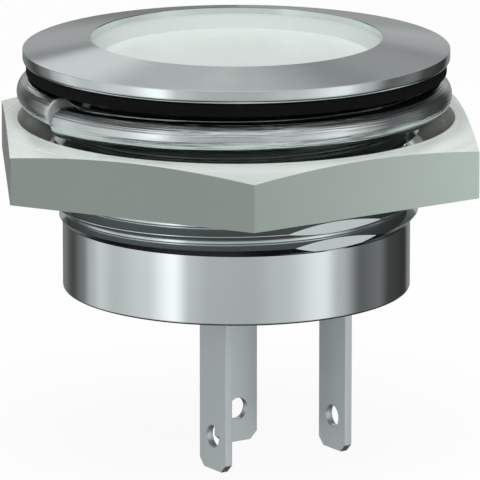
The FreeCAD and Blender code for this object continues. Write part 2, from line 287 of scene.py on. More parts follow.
# %% [markdown]
# ### The thread's ends
#
# A thread doesn't stop dead. At its upper end the tool is drawn back, so over the last part of a turn the groove's
# points are moved outwards along a soft curve until the groove leaves the steel. Its lower end is cut off at the
# shoulder. How far along the thread a point is follows from its height and from its angle: the angle tells the part
# of a turn, and the height tells which turn it is.


# %% Helpers for cutting
def block(name, low, high):
    """A box from corner low to corner high."""
    bpy.ops.object.select_all(action="DESELECT")
    bpy.ops.mesh.primitive_cube_add(size=MM)
    piece = bpy.context.object
    piece.name = piece.data.name = name
    edit_whole(piece)
    bpy.ops.transform.resize(value=[b - a for a, b in zip(low, high)])
    bpy.ops.transform.translate(value=[(a + b) / 2 * MM for a, b in zip(low, high)])
    bpy.ops.object.mode_set(mode="OBJECT")
    return piece


def cut_with(piece, tool, operation="DIFFERENCE"):
    """Boolean with a tool object, which is then thrown away."""
    apply_modifier(piece, "BOOLEAN", object=tool, operation=operation, solver="EXACT")
    bpy.data.objects.remove(tool)


# %% Let the groove run out and cut it
RUN_OUT_TURNS, RUN_OUT_RISE, RUN_OUT_CURVE = 0.42, 0.9, 1.5
FIRST_ANGLE_TURNS = 0.25  # the groove starts at -Y, a quarter turn before +X
STOP_HALF_WIDTH, STOP_DEPTH, STOP_ABOVE_SHOULDER = 15, 4, 0.05

for vertex in groove.data.vertices:
    x, y, z = vertex.co / MM
    part_of_turn = math.atan2(y, x) / (2 * math.pi) + FIRST_ANGLE_TURNS
    climbed = z - GROOVE_START_Z
    turns = round(climbed / PITCH - part_of_turn) + part_of_turn
    late = (turns - (GROOVE_TURNS - RUN_OUT_TURNS)) / RUN_OUT_TURNS
    if late > 0:
        outwards = Vector((x, y, 0)).normalized() * (RUN_OUT_RISE * late ** RUN_OUT_CURVE)
        vertex.co += outwards * MM
close_ends(groove)
cut_with(groove, block(
    "stop",
    (-STOP_HALF_WIDTH, -STOP_HALF_WIDTH, SHOULDER_Z - STOP_DEPTH),
    (STOP_HALF_WIDTH, STOP_HALF_WIDTH, SHOULDER_Z + STOP_ABOVE_SHOULDER),
))
report_size(groove)
cut_with(body, groove)
report_size(body)

# %% [markdown]
# ## The flat on the barrel
#
# One side of the barrel is milled flat, so that the lamp can't turn in its panel. The mill only goes as deep as the
# skirt, half a millimetre below the crests, and leaves the ridges as slim pale lenses. A plain block is the mill
# here. The body is smoothed only after all cuts, and only across small angles, or the shading would smear over the
# thread's roots.


# %% Helper for smoothing
def smooth(piece, degrees=30):
    """Soft shading that keeps sharp edges, weighted so that flats stay flat beside small roundings."""
    only(piece)
    bpy.ops.object.shade_smooth_by_angle(angle=math.radians(degrees))
    apply_modifier(piece, "WEIGHTED_NORMAL", keep_sharp=True, weight=50)


# %% Mill the flat
FLAT_Y = -10.5
MILL_HALF_WIDTH, MILL_DEPTH = 12, 2

cut_with(body, block(
    "mill", (-MILL_HALF_WIDTH, FLAT_Y - MILL_DEPTH, SHOULDER_Z), (MILL_HALF_WIDTH, FLAT_Y, 0)))
smooth(body, degrees=15)
report_size(body)
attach(body, "lamp")
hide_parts("housing")

# %% [markdown]
# ## Milky lens
#
# The lens is a moulded cap. Its front is dished: a narrow band slopes down from the aperture to a flat face. It is
# turned too, because a moulded round cap has the same outline all the way round. The edge between band and face is
# soft, as moulded plastic is, so it gets a small rounding in the outline.

# %% Turn the lens
LENS_R, LENS_FACE_R, LENS_FACE_Z = 9.30, 8.10, 0.25
LENS_REBATE_R, LENS_WALL_R = 8.55, 7.60
LENS_BACK_Z, LENS_REBATE_Z, LENS_END_Z = -1.15, -1.60, -2.60
LENS_GAP, LENS_EDGE_R = 0.005, 0.10

lens = draw_outline("milky_lens", [
    (0, LENS_FACE_Z),
    (LENS_FACE_R, LENS_FACE_Z),
    (APERTURE_R - LENS_GAP, LIP_Z),
    (LENS_R, LIP_Z),
    (LENS_R, LENS_REBATE_Z),
    (LENS_REBATE_R, LENS_REBATE_Z),
    (LENS_REBATE_R, LENS_END_Z),
    (LENS_WALL_R, LENS_END_Z),
    (LENS_WALL_R, LENS_BACK_Z),
    (0, LENS_BACK_Z),
])
round_corner(lens, (LENS_FACE_R, LENS_FACE_Z), LENS_EDGE_R, segments=4)
spin_round(lens, TURNING_STEPS)
smooth(lens)
report_size(lens)
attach(lens, "lamp")
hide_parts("lens")

# %% [markdown]
# ## Seal
#
# A flat rubber washer lies under the flange. A cylinder with a hole would do, but cut rubber has slightly soft
# edges, so it is turned from an outline with both outer corners rounded.

# %% Turn the seal
SEAL_T, SEAL_R, SEAL_BORE_R = 0.75, 12.65, 11.05
SEAL_UPPER_EDGE_R, SEAL_LOWER_EDGE_R = 0.08, 0.16

seal = draw_outline("rubber_seal", [
    (SEAL_BORE_R, 0),
    (SEAL_R, 0),
    (SEAL_R, -SEAL_T),
    (SEAL_BORE_R, -SEAL_T),
])
round_corner(seal, (SEAL_R, 0), SEAL_UPPER_EDGE_R, segments=3)
round_corner(seal, (SEAL_R, -SEAL_T), SEAL_LOWER_EDGE_R, segments=5)
spin_round(seal, TURNING_STEPS)
smooth(seal)
report_size(seal)
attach(seal, "lamp")
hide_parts("panel_seal")

# %% [markdown]
# ## Split spring ring
#
# The ring is one turn of round spring wire, cut off square. Its ends stand side by side, one a little higher than the
# other, so the turn climbs like a very flat spring. A torus can't climb, so a circle is swept with the Screw modifier
# over a little less than one turn. Its open ends are filled, and a bevel rounds their edges.

# %% Sweep the wire
WIRE_R, RING_R = 0.965, 12.13
RING_RISE, RING_GAP = 0.43, 0.25
WIRE_SIDES, RING_STEPS = 32, 192
WIRE_END_R = 0.14

bpy.ops.object.select_all(action="DESELECT")
bpy.ops.mesh.primitive_circle_add(vertices=WIRE_SIDES, radius=WIRE_R * MM)
ring = bpy.context.object
ring.name = ring.data.name = "spring_wire"
edit_whole(ring)
bpy.ops.transform.rotate(value=math.radians(90), orient_axis="X", center_override=(0, 0, 0))
bpy.ops.transform.translate(value=(RING_R * MM, 0, 0))
bpy.ops.object.mode_set(mode="OBJECT")
gap_angle = RING_GAP / RING_R
sweep_up(ring, 2 * math.pi - gap_angle, RING_RISE, RING_STEPS)
close_ends(ring)
apply_modifier(ring, "BEVEL", width=WIRE_END_R * MM, segments=4, limit_method="ANGLE", angle_limit=math.radians(60))
report_size(ring)

# %% [markdown]
# ### The ring's pressed ends
#
# The shears press the last few millimetres at each end a little downwards. Bend can't be used without a window, so
# the points near the ends are lowered along a soft curve. The ring is then turned until its split is at the left,
# and set a little off centre in the nut, as it lies in the picture.

# %% Press the ends and place the ring
LOW_END_DROP, LOW_END_DEGREES = 0.16, 60
HIGH_END_DROP, HIGH_END_DEGREES = 0.17, 34
RING_SPLIT = math.radians(179)
RING_PLACE = (-0.10, 0.07, -2.175)

for vertex in ring.data.vertices:
    turned = math.degrees(math.atan2(vertex.co.y, vertex.co.x) + gap_angle / 2) % 360
    low_share = max(0, 1 - turned / LOW_END_DEGREES)
    high_share = max(0, 1 - (360 - turned) / HIGH_END_DEGREES)
    vertex.co.z -= (LOW_END_DROP * low_share ** 2 + HIGH_END_DROP * high_share ** 2) * MM
ring.data.transform(Matrix.Rotation(RING_SPLIT + gap_angle / 2, 4, "Z"))
ring.data.transform(Matrix.Translation([c * MM for c in RING_PLACE]))
smooth(ring)
report_size(ring)
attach(ring, "ring")
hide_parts("spring_ring")

# %% [markdown]
# ## Hexagon nut
#
# The nut is cut from hexagon bar. A turned blank gives the sloping top, the conical seat for the ring, the bore and
# the lead-in. Where that blank and a hexagon bar overlap is the nut: the slope then falls to the six corners by
# itself, in the curves that a real turned nut shows. Those curves would be hard to draw by hand.

# %% Turn the nut's blank
NUT_TOP_Z, NUT_BOTTOM_Z = -3.385, -6.885
NUT_CORNER_R, NUT_SEAT_R, NUT_BORE_R = 16.05, 13.20, 11.05
NUT_SEAT_DEPTH, NUT_SEAT_STEP = 1.85, 0.3
NUT_SLOPE = math.tan(math.radians(13))
NUT_LIP_R, NUT_LEAD_IN = 0.06, 0.30
BLANK_SPARE = 1

seat_foot_z = NUT_TOP_Z - NUT_SEAT_DEPTH
blank_r = NUT_CORNER_R + BLANK_SPARE
nut = draw_outline("hexagon_nut", [
    (NUT_BORE_R, NUT_BOTTOM_Z),
    (blank_r, NUT_BOTTOM_Z),
    (blank_r, NUT_TOP_Z - (blank_r - NUT_SEAT_R) * NUT_SLOPE),
    (NUT_SEAT_R, NUT_TOP_Z),
    (NUT_BORE_R + NUT_SEAT_STEP, seat_foot_z),
    (NUT_BORE_R, seat_foot_z),
])
round_corner(nut, (NUT_SEAT_R, NUT_TOP_Z), NUT_LIP_R, segments=3)
round_corner(nut, (NUT_BORE_R, NUT_BOTTOM_Z), NUT_LEAD_IN, segments=1)
spin_round(nut, TURNING_STEPS)
report_size(nut)

# %% [markdown]
# ### The hexagon bar
#
# A cylinder with six sides is the bar. Its upright edges are broken a little, as drawn bar has them. The Boolean
# keeps what bar and blank share.

# %% Cut the nut from hexagon bar
BAR_EDGE_R, BAR_SPARE_LENGTH = 0.05, 2

bpy.ops.object.select_all(action="DESELECT")
bpy.ops.mesh.primitive_cylinder_add(
    vertices=6, radius=NUT_CORNER_R * MM, depth=(NUT_TOP_Z - NUT_BOTTOM_Z + BAR_SPARE_LENGTH) * MM,
    location=(0, 0, (NUT_TOP_Z + NUT_BOTTOM_Z) / 2 * MM), rotation=(0, 0, math.radians(30)),
)
bar = bpy.context.object
bpy.ops.object.transform_apply(location=True, rotation=True, scale=True)
apply_modifier(bar, "BEVEL", width=BAR_EDGE_R * MM, segments=2, limit_method="ANGLE", angle_limit=math.radians(30))
cut_with(nut, bar, "INTERSECT")
smooth(nut)
report_size(nut)
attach(nut, "nut")
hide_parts("hex_nut")

# %% [markdown]
# ## Tabs
#
# Each terminal is stamped from flat strip: a tab with cut-off corners and a wire hole, and a narrow tail that goes up
# through the board. One tab is modelled standing on the axis and copied to the three places, so all three are alike.
# Stamping leaves the edges a little rounded, so a fine bevel catches the light along them.

# %% Stamp one tab
TAB_WIDTH, TAB_T, TAIL_WIDTH = 2.8, 0.5, 1.2
TAB_TIP_Z, TAB_SHOULDER_Z, TAIL_TOP_Z = -23.81, -11.60, -9.85
TIP_CUT = 0.48

tab = block("tab_3", (-TAB_WIDTH / 2, -TAB_T / 2, TAB_TIP_Z), (TAB_WIDTH / 2, TAB_T / 2, TAB_SHOULDER_Z))
pick(tab, "FACE", lambda x, y, z: near(z, TAB_SHOULDER_Z))
bpy.ops.mesh.extrude_region_move(TRANSFORM_OT_translate={"value": (0, 0, 0)})
bpy.ops.transform.resize(value=(TAIL_WIDTH / TAB_WIDTH, 1, 1))
bpy.ops.mesh.extrude_region_move(TRANSFORM_OT_translate={"value": (0, 0, (TAIL_TOP_Z - TAB_SHOULDER_Z) * MM)})
pick(tab, "EDGE", lambda x, y, z: near(z, TAB_TIP_Z) and near(abs(x), TAB_WIDTH / 2) and near(y, 0))
bpy.ops.mesh.bevel(offset=TIP_CUT * MM, segments=1, affect="EDGES")
bpy.ops.object.mode_set(mode="OBJECT")
report_size(tab)

# %% Punch its wire hole
HOLE_R, HOLE_Z, HOLE_SIDES = 0.68, -21.76, 40
PUNCH_LENGTH = 2
TAB_EDGE_R = 0.035

bpy.ops.object.select_all(action="DESELECT")
bpy.ops.mesh.primitive_cylinder_add(
    vertices=HOLE_SIDES, radius=HOLE_R * MM, depth=PUNCH_LENGTH * MM,
    location=(0, 0, HOLE_Z * MM), rotation=(math.radians(90), 0, 0),
)
punch = bpy.context.object
bpy.ops.object.transform_apply(location=True, rotation=True, scale=True)
cut_with(tab, punch)
apply_modifier(tab, "BEVEL", width=TAB_EDGE_R * MM, segments=2, limit_method="ANGLE", angle_limit=math.radians(50))
smooth(tab, degrees=35)
report_size(tab)

# %% [markdown]
# ### Three tabs from one
#
# A copy gets its own mesh, because its place goes into the mesh: the object itself stays at the origin, where the
# patterns of the finishes are counted from.

# %% Set the three tabs in place
TAB_PLACES = [(-4.34, -4.29, 90), (4.34, -4.29, 90), (0.28, 0.49, 0)]  # x, y and turn in degrees


def copy_piece(piece, name):
    twin = piece.copy()
    twin.data = piece.data.copy()
    twin.name = twin.data.name = name
    bpy.context.collection.objects.link(twin)
    return twin


tabs = [copy_piece(tab, "tab_1"), copy_piece(tab, "tab_2"), tab]
for i, (x, y, turn) in enumerate(TAB_PLACES):
    tabs[i].data.transform(Matrix.Rotation(math.radians(turn), 4, "Z"))
    tabs[i].data.transform(Matrix.Translation((x * MM, y * MM, 0)))
    report_size(tabs[i])
    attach(tabs[i], "lamp")
    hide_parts(f"terminal_{i + 1}")

# %% [markdown]
# ## Resin at the back
#
# The open end of the skirt is closed by a moulded plate, and a black resin is poured on it to hold the tabs. A liquid
# climbs a wall a little before it sets. A flat disc would miss that, so the outline turns down at the rim.

# %% Pour the resin
RESIN_TOP_Z, RESIN_Z, RESIN_R = -13.10, -13.52, 8.50
RESIN_CLIMB = [(0, 0.10), (0.10, 0.06), (0.25, 0.02), (0.50, 0)]  # how far in from the wall, and how far climbed
RESIN_STEPS = 96

resin = draw_outline("poured_resin", [
    (0, RESIN_TOP_Z),
    (RESIN_R, RESIN_TOP_Z),
    *[(RESIN_R - inwards, RESIN_Z - climb) for inwards, climb in RESIN_CLIMB],
    (0, RESIN_Z),
])
spin_round(resin, RESIN_STEPS)
smooth(resin, degrees=50)
report_size(resin)
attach(resin, "lamp")
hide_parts("rear_resin")

# %% [markdown]
# ## Finishes
#
# A finish is a material made of nodes. They could be wired one by one, but most finishes here are built the same
# way, so a few helpers do the wiring. put() leads a node's output into the shader, and dress() gives a piece its
# finish, with more finishes for some of its faces if need be.


# %% Helpers for nodes
def new_finish(name, colour, metallic, roughness):
    finish = bpy.data.materials.new(name)
    finish.use_nodes = True
    shader = finish.node_tree.nodes["Principled BSDF"]
    shader.inputs["Base Color"].default_value = (*colour, 1)
    shader.inputs["Metallic"].default_value = metallic
    shader.inputs["Roughness"].default_value = roughness
    return finish


def add_node(finish, kind, links=(), **settings):
    """A new node, its properties set, and each (input, output socket or value) of links put in place."""
    tree = finish.node_tree
    node = tree.nodes.new(kind)
    for setting, value in settings.items():
        setattr(node, setting, value)
    for socket, source in links:
        if isinstance(source, bpy.types.NodeSocket):
            tree.links.new(source, node.inputs[socket])
        else:
            node.inputs[socket].default_value = source
    return node


def put(finish, socket, source):
    finish.node_tree.links.new(source, finish.node_tree.nodes["Principled BSDF"].inputs[socket])


def set_all_over(finish, values):
    """Numbers that are the same all over the surface are set on the shader itself."""
    shader = finish.node_tree.nodes["Principled BSDF"]
    for socket, value in values.items():
        shader.inputs[socket].default_value = value


def report_finish(finish):
    print(f"{finish.name}: {len(finish.node_tree.nodes)} nodes")


# %% Helpers for dressing a piece
def dress(piece, *finishes):
    piece.data.materials.clear()
    for finish in finishes:
        piece.data.materials.append(finish)
    print(f"{piece.name}: {', '.join(finish.name for finish in finishes)}")


def dress_faces(piece, slot, wanted):
    """Gives the finish in that slot to each face for which wanted(middle, normal) is true."""
    chosen = [face for face in piece.data.polygons if wanted(face.center / MM, face.normal)]
    for face in chosen:
        face.material_index = slot
    print(f"{piece.name}: {len(chosen)} faces of {piece.data.materials[slot].name}")


# %% [markdown]
# ### Patterns
#
# No real surface is one even grey. Each pattern is a noise on the Object coordinates, so it stays on the piece when
# the piece moves. A turned or drawn surface has fine rings from the tool, and each ring is a little rougher or
# smoother than its neighbour: ring_place() gives a noise that only depends on the distance from the axis and on the
# height, so its pattern runs round the piece as real tool marks do. A little drift lets the marks fade in and out.


# %% Noise on a piece and round its axis
DRIFT_SCALE = 70.0


def maths(finish, operation, a, b=0.0):
    return add_node(finish, "ShaderNodeMath", [(0, a), (1, b)], operation=operation).outputs[0]


def object_place(finish):
    return add_node(finish, "ShaderNodeTexCoord").outputs["Object"]


def noise(finish, place, scale, detail, roughness=0.6):
    links = [("Vector", place), ("Scale", scale), ("Detail", detail), ("Roughness", roughness)]
    return add_node(finish, "ShaderNodeTexNoise", links).outputs["Fac"]


def ring_place(finish, drift=0.0):
    """Coordinates that run round the axis: radius, slow drift, height."""
    split = add_node(finish, "ShaderNodeSeparateXYZ", [(0, object_place(finish))])
    x, y, z = split.outputs
    across = maths(finish, "ADD", maths(finish, "MULTIPLY", x, x), maths(finish, "MULTIPLY", y, y))
    radius = maths(finish, "SQRT", across)
    slow = maths(finish, "MULTIPLY", noise(finish, object_place(finish), DRIFT_SCALE, detail=1.0), drift * MM)
    return add_node(finish, "ShaderNodeCombineXYZ", [(0, radius), (1, slow), (2, z)]).outputs[0]


# %% From noise to roughness, colour and bump
def spread(finish, value, low, high):
    """Maps a noise's middle half onto low to high."""
    links = [(0, value), (1, 0.25), (2, 0.75), (3, low), (4, high)]
    return add_node(finish, "ShaderNodeMapRange", links).outputs[0]


def tint(finish, value, dark, light):
    """Two colours mixed by a value."""
    links = [(0, value), (6, (*dark, 1)), (7, (*light, 1))]
    return add_node(finish, "ShaderNodeMix", links, data_type="RGBA").outputs[2]


def shaded(colour, factor):
    return tuple(min(1.0, factor * c) for c in colour)


def bump(finish, height, depth, strength, below=None):
    """A normal from a height pattern. below is the normal of a layer underneath."""
    links = [("Height", height), ("Distance", depth * MM), ("Strength", strength)]
    if below is not None:
        links.append(("Normal", below))
    return add_node(finish, "ShaderNodeBump", links).outputs[0]


# %% [markdown]
# ### Steel
#
# Body and ring are bright stainless steel. The body is polished on the lathe, so its marks are fine and low. The
# wire is drawn, so it has deeper streaks, and they drift in and out along it. Both come from one recipe with other
# numbers. A slow second noise leaves the faint cloudiness of a handled part. The lower sides of the thread's ridges
# get a steel of their own, rougher and much darker: its dark colour is painted shade, for the shade that falls under
# the nut and between the ridges.

# %% Steel
STEEL = (0.735, 0.80, 0.80)
LINE_BUMP = 0.35
LOOKS_DOWN = -0.7
THREAD_MARGIN = 0.05


def make_steel(name, roughness, uneven, line_scale, line_depth, drift=0.0, colour=STEEL):
    """uneven is the share by which the roughness changes from line to line."""
    steel = new_finish(name, colour, metallic=1.0, roughness=roughness)
    lines = noise(steel, ring_place(steel, drift), line_scale, detail=3.0)
    cloud = noise(steel, object_place(steel), scale=220.0, detail=3.0)
    line_roughness = spread(steel, lines, roughness * (1 - uneven), roughness * (1 + uneven))
    put(steel, "Roughness", maths(steel, "ADD", line_roughness, spread(steel, cloud, -0.015, 0.02)))
    put(steel, "Base Color", tint(steel, cloud, shaded(colour, 0.94), shaded(colour, 1.03)))
    put(steel, "Normal", bump(steel, lines, line_depth, LINE_BUMP))
    return steel


polished_steel = make_steel("polished_steel", roughness=0.10, uneven=0.2, line_scale=9000.0, line_depth=0.0012)
spring_steel = make_steel(
    "spring_steel", roughness=0.16, uneven=0.45, line_scale=3800.0, line_depth=0.24, drift=0.6)
# The flank steel's colour, 0.42 of the steel, is painted shade on the thread's lower flanks.
flank_steel_painted_shade = make_steel(
    "flank_steel_painted_shade", roughness=0.60, uneven=0.1, line_scale=9000.0, line_depth=0.0012, colour=shaded(STEEL, 0.42))
dress(body, polished_steel, flank_steel_painted_shade)
# The thread's faces that look down get the painted shade.
dress_faces(body, 1, lambda middle, normal: (
    normal.z < LOOKS_DOWN and THREAD_END_Z - THREAD_MARGIN < middle.z < -SEAL_T and middle.xy.length < THREAD_R))

# %% [markdown]
# ### The ring's cut ends
#
# Sheared metal is matt and pale. The faces at the split that look along the wire, with the rounding round them, get
# that finish, and its marks run down as the blade went. To draw marks out along one axis, the place is squeezed
# along it before the noise reads it.


# %% Cut ends
def stretched(finish, place, scale):
    return add_node(finish, "ShaderNodeMapping", [(0, place), (3, scale)]).outputs[0]


ALONG_WIRE = 0.3
CUT_X, CUT_HALF_WIDTH = -10, 0.5

cut_steel = new_finish("cut_steel", (0.86, 0.90, 0.90), metallic=0.3, roughness=0.4)
downwards = stretched(cut_steel, object_place(cut_steel), (1, 1, 0.2))
shear_marks = noise(cut_steel, downwards, scale=6000.0, detail=3.0)
put(cut_steel, "Base Color", tint(cut_steel, shear_marks, (0.82, 0.86, 0.86), (0.90, 0.94, 0.94)))
put(cut_steel, "Normal", bump(cut_steel, shear_marks, depth=0.004, strength=0.5))
along_wire = Vector((-math.sin(RING_SPLIT), math.cos(RING_SPLIT), 0))
dress(ring, spring_steel, cut_steel)
dress_faces(ring, 1, lambda middle, normal: (
    abs(normal.dot(along_wire)) > ALONG_WIRE and middle.x < CUT_X and abs(middle.y) < CUT_HALF_WIDTH))

# %% [markdown]
# ### Nickel plate
#
# The nut's plate is duller than the steel and has a faint warm green cast. Plate follows every scratch of the bar
# below it, so there are two layers: fine rings, and a soft uneven grain. It could be plain metal, but then the upright
# walls would mirror the dark panels of the studio, and in the picture they are pale. So it is mostly a pale base
# under a clear coat, which mirrors only when it is seen from low down.

# %% Nickel
nickel = new_finish("nickel_plate", (0.50, 0.60, 0.54), metallic=0.1, roughness=0.36)
rings = noise(nickel, ring_place(nickel), scale=6000.0, detail=3.0)
grain = noise(nickel, object_place(nickel), scale=2600.0, detail=5.0)
cloud = noise(nickel, object_place(nickel), scale=160.0, detail=3.0)
ring_roughness = spread(nickel, rings, 0.31, 0.39)
put(nickel, "Roughness", maths(nickel, "ADD", ring_roughness, spread(nickel, grain, -0.03, 0.04)))
put(nickel, "Base Color", tint(nickel, cloud, (0.48, 0.575, 0.515), (0.52, 0.625, 0.565)))
grain_bump = bump(nickel, grain, depth=0.002, strength=0.3)
put(nickel, "Normal", bump(nickel, rings, depth=0.0015, strength=0.3, below=grain_bump))
set_all_over(nickel, {"Coat Weight": 1.0, "Coat Roughness": 0.12, "Coat IOR": 1.5})
report_finish(nickel)

# %% [markdown]
# ### The nut's turned faces
#
# The nut's top and its seat are turned, and show coarser rings than the bar's walls. The top's colour is painted
# light: it is the brightest face of the nut, and its rings carry painted streaks of reflection. The seat lies in the
# shade of the ring and mirrors it, so it is a plainly metallic finish, and its darker colour is painted shade.


# %% Turned faces
# The two colours along the cuts are painted light and shade, not the plate's own colour.
def make_turned_with_painted_light(name, metallic, roughness, dark, light):
    turned = new_finish(name, light, metallic, roughness)
    cuts_and_painted_streaks = noise(turned, ring_place(turned, drift=1.5), scale=2600.0, detail=4.0)
    put(turned, "Roughness", spread(turned, cuts_and_painted_streaks, roughness - 0.08, roughness + 0.08))
    put(turned, "Base Color", tint(turned, cuts_and_painted_streaks, dark, light))
    put(turned, "Normal", bump(turned, cuts_and_painted_streaks, depth=0.03, strength=0.3))
    return turned


LOOKS_UP = 0.3
SEAT_MARGIN = 0.05

# The top's pale colour and its streaks are painted light and painted reflection.
top_painted_light = make_turned_with_painted_light(
    "turned_nickel_painted_light", metallic=0.2, roughness=0.26, dark=(0.64, 0.72, 0.67), light=(0.92, 0.96, 0.92))
# The seat's dark colour is painted shade.
seat_painted_shade = make_turned_with_painted_light(
    "seat_nickel_painted_shade", metallic=1.0, roughness=0.30, dark=(0.42, 0.45, 0.40), light=(0.56, 0.59, 0.53))
dress(nut, nickel, top_painted_light, seat_painted_shade)
# Faces that look up get the painted light; those inside the seat's edge then get the painted shade.
dress_faces(nut, 1, lambda middle, normal: normal.z > LOOKS_UP)
dress_faces(nut, 2, lambda middle, normal: (
    normal.z > LOOKS_UP and middle.xy.length < NUT_SEAT_R - SEAT_MARGIN))

# %% [markdown]
# ### Tin plate
#
# The tabs are rolled brass strip with a tin plate. Rolling leaves faint lines along the strip, which is upright here,
# so the place is squeezed along Z before the noise reads it. The pins between the boards have the same plate.

# %% Tin
tin = new_finish("tinned_brass", (0.85, 0.93, 0.94), metallic=0.8, roughness=0.44)
rolled = noise(tin, stretched(tin, object_place(tin), (1, 1, 0.04)), scale=9000.0, detail=3.0)
bloom = noise(tin, object_place(tin), scale=500.0, detail=4.0)
put(tin, "Roughness", maths(tin, "ADD", spread(tin, rolled, 0.41, 0.47), spread(tin, bloom, -0.03, 0.04)))
put(tin, "Base Color", tint(tin, bloom, (0.82, 0.90, 0.91), (0.88, 0.96, 0.97)))
put(tin, "Normal", bump(tin, rolled, depth=0.001, strength=0.15))
for piece in tabs:
    dress(piece, tin)
for name in ("link_pin_1", "link_pin_2", "link_pin_3"):
    dress(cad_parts[name], tin)

# %% [markdown]
# ### Milky plastic
#
# The lens scatters light, so it looks the same from all sides and never quite black. A little subsurface scattering
# gives that depth, and the smooth surface above it keeps a soft gloss. More of it would let the dark body show
# through the lens's sloping band.

# %% Lens plastic
milk = new_finish("milky_lens", (0.74, 0.80, 0.77), metallic=0.0, roughness=0.22)
haze = noise(milk, object_place(milk), scale=300.0, detail=3.0)
polish = noise(milk, object_place(milk), scale=1800.0, detail=3.0)
put(milk, "Base Color", tint(milk, haze, (0.725, 0.79, 0.758), (0.755, 0.815, 0.785)))
put(milk, "Roughness", spread(milk, polish, 0.20, 0.27))
set_all_over(milk, {
    "Subsurface Weight": 0.15,
    "Subsurface Radius": (1.0, 1.0, 1.0),
    "Subsurface Scale": 0.5 * MM,
})
dress(lens, milk)

# %% [markdown]
# ### Rubber, black plastic and resin
#
# All three are nearly black, and only their surface tells them apart: rubber is matt and dusty, the moulded plate has
# a fine even grain, and the poured resin is glossy with slow waves. One recipe makes all three.


# %% Dark finishes
def make_dark(name, colour, roughness, grain_scale, grain_depth):
    dark = new_finish(name, colour, metallic=0.0, roughness=roughness)
    grain = noise(dark, object_place(dark), grain_scale, detail=5.0)
    put(dark, "Roughness", spread(dark, grain, roughness * 0.85, roughness * 1.15))
    put(dark, "Base Color", tint(dark, grain, shaded(colour, 0.8), shaded(colour, 1.25)))
    put(dark, "Normal", bump(dark, grain, grain_depth, strength=0.5))
    return dark


rubber = make_dark(
    "seal_rubber", (0.003, 0.003, 0.0035), roughness=0.72, grain_scale=3500.0, grain_depth=0.006)
black_plastic = make_dark(
    "black_plastic", (0.020, 0.020, 0.022), roughness=0.42, grain_scale=2500.0, grain_depth=0.006)
resin_black = make_dark(
    "sealing_resin", (0.012, 0.012, 0.014), roughness=0.16, grain_scale=350.0, grain_depth=0.02)
set_all_over(rubber, {"Specular IOR Level": 0.2})
dress(seal, rubber)
dress(resin, resin_black)
dress(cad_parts["lens_seal"], rubber)
for name in ("board_spacer", "terminal_base", "blocking_diode_1", "blocking_diode_2"):
    dress(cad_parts[name], black_plastic)

# %% [markdown]
# ### Circuit boards
#
# The boards, chips and the light cup are hidden in the picture, but they are there when the lens or the body is taken
# off. A board is woven glass under green lacquer. Two wave textures, one across the other, give the weave: where
# both are high, a thread lies on top.

# %% Board laminate
WEAVE_SCALE = 700.0

laminate = new_finish("board_laminate", (0.03, 0.16, 0.07), metallic=0.0, roughness=0.35)
weave_links = [("Vector", object_place(laminate)), ("Scale", WEAVE_SCALE)]
warp = add_node(laminate, "ShaderNodeTexWave", weave_links, bands_direction="X").outputs["Fac"]
weft = add_node(laminate, "ShaderNodeTexWave", weave_links, bands_direction="Y").outputs["Fac"]
weave = maths(laminate, "MULTIPLY", warp, weft)
put(laminate, "Base Color", tint(laminate, weave, (0.022, 0.12, 0.05), (0.05, 0.22, 0.10)))
put(laminate, "Normal", bump(laminate, weave, depth=0.004, strength=0.4))
for name in ("led_board", "driver_board"):
    dress(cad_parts[name], laminate)

# %% [markdown]
# ### Chips, solder and the light cup
#
# These are small pieces that keep their CAD shape. White moulded plastic, ceramic and solder differ in colour, gloss
# and the size of their mottle, so a table of those is enough.


# %% Finishes of the small pieces
def make_pale(name, colour, metallic, roughness, scale):
    pale = new_finish(name, colour, metallic, roughness)
    mottle = noise(pale, object_place(pale), scale, detail=4.0)
    put(pale, "Base Color", tint(pale, mottle, shaded(colour, 0.88), shaded(colour, 1.08)))
    put(pale, "Roughness", spread(pale, mottle, roughness * 0.85, roughness * 1.2))
    put(pale, "Normal", bump(pale, mottle, depth=0.004, strength=0.4))
    return pale


# finish, colour, metallic, roughness, scale of the mottle, pieces
SMALL_PIECES = [
    ("white_plastic", (0.80, 0.80, 0.78), 0.0, 0.45, 1800.0, ["light_cup"]),
    ("led_package", (0.80, 0.72, 0.40), 0.0, 0.40, 3000.0, ["led_1", "led_2", "led_3", "led_4"]),
    ("chip_ceramic", (0.42, 0.29, 0.18), 0.0, 0.50, 3000.0, ["bypass_capacitor"]),
    ("chip_resistor", (0.03, 0.03, 0.035), 0.0, 0.35, 3000.0, ["dropper_resistor_1", "dropper_resistor_2"]),
    ("solder", (0.66, 0.67, 0.68), 1.0, 0.28, 2000.0, [f"terminal_solder_{i}" for i in (1, 2, 3)]),
]
for name, colour, metallic, roughness, scale, pieces in SMALL_PIECES:
    finish = make_pale(name, colour, metallic, roughness, scale)
    for piece in pieces:
        dress(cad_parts[piece], finish)

# %% [markdown]
# ## The floor
#
# The picture has a plain white ground. A floor lit to white would throw that light up at the object. So this floor is
# painted pale, and its white is a glow on just those rays that show the background. A little of the paint stays mixed
# in, and keeps the object's faint shadow. The floor itself lights nothing: mirrors and soft light don't see it, and
# the lower part of the tent stands in for it. From below it is clear.


# %% Floor
def white_rays(finish):
    """1 for the rays that show the background: straight from the camera, mirrored or through something clear."""
    path = add_node(finish, "ShaderNodeLightPath")
    mirrored = maths(finish, "MAXIMUM", path.outputs["Is Glossy Ray"], path.outputs["Is Transmission Ray"])
    return maths(finish, "MAXIMUM", path.outputs["Is Camera Ray"], mirrored)


def bare_finish(name):
    """A finish without any node yet."""
    finish = bpy.data.materials.new(name)
    finish.use_nodes = True
    finish.node_tree.nodes.clear()
    return finish


def mix_shaders(finish, share, first, second):
    return add_node(finish, "ShaderNodeMixShader", [(0, share), (1, first), (2, second)]).outputs[0]


FLOOR_R, FLOOR_Z = 6.0, TAB_TIP_Z * MM
FLOOR_PAINT, FLOOR_GLOW_SHARE = 0.85, 0.94

